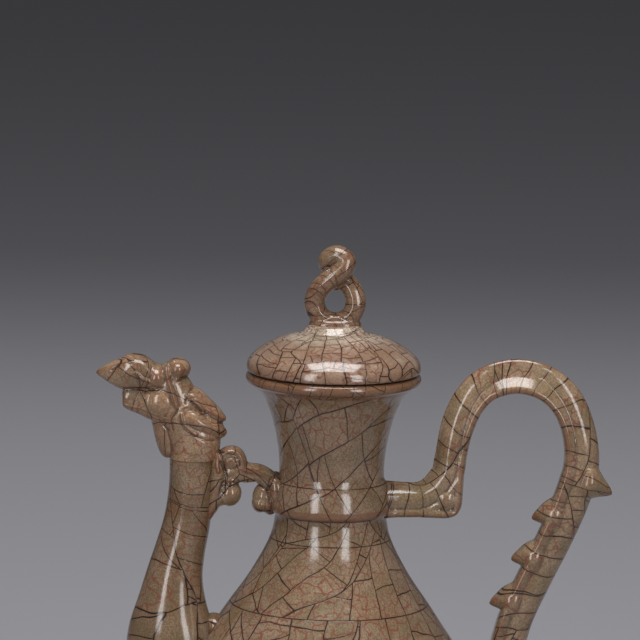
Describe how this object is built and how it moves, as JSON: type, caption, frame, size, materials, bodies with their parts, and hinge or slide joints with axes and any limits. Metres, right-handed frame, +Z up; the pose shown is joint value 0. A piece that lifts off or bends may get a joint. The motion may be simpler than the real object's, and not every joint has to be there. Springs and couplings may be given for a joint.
{
  "type": "covered ewer",
  "caption": "Crackle-glazed stoneware wine ewer: pear-shaped body, bird-head spout braced to the neck, looped thorned handle, lift-off lid with a knotted finial.",
  "frame": {"origin": "on the standing plane of the foot ring, midway between the beak's tip and the outer thorn's tip, so the ewer's turned axis stands 8 mm to the -X side of it", "axes": "+Z up, +X towards the handle, -X towards the spout, -Y towards the viewer in the picture"},
  "size_m": [0.1912, 0.122, 0.2533],
  "materials": {
    "crackle_glaze": "glossy grey-buff glaze with dark and rust-brown crackle",
    "thin_glaze": "the same glaze run thin over modelled edges, browner",
    "foot_clay": "dark unglazed stoneware on the standing ring"
  },
  "bodies": {
    "ewer": {"foot_ring": "foot_clay", "lower_belly": "crackle_glaze", "upper_belly": "crackle_glaze", "neck": "crackle_glaze", "mouth_rim": "thin_glaze", "neck_band": "crackle_glaze", "spout_tube": "crackle_glaze", "head_skull": "thin_glaze", "upper_beak": "thin_glaze", "lower_jaw": "thin_glaze", "wattle": "thin_glaze", "comb": "thin_glaze", "crest_upper": "thin_glaze", "crest_lower": "thin_glaze", "bridge_leaf": "thin_glaze", "bridge_scroll": "thin_glaze", "bridge_limb": "thin_glaze", "bridge_drop_left": "thin_glaze", "bridge_drop_right": "thin_glaze", "handle": "crackle_glaze", "thorn_outer": "thin_glaze", "thorn_inner_upper": "thin_glaze", "thorn_inner_middle": "thin_glaze", "thorn_inner_lower": "thin_glaze"},
    "lid": {"lid_dome": "crackle_glaze", "lid_collar": "crackle_glaze", "finial_pad": "crackle_glaze", "finial_knot": "thin_glaze"}
  },
  "joints": [
    {"name": "lid_lift", "type": "slide", "parent": "ewer", "child": "lid", "axis": [0, 0, 1], "range_m": [0, 0.06]}
  ]
}
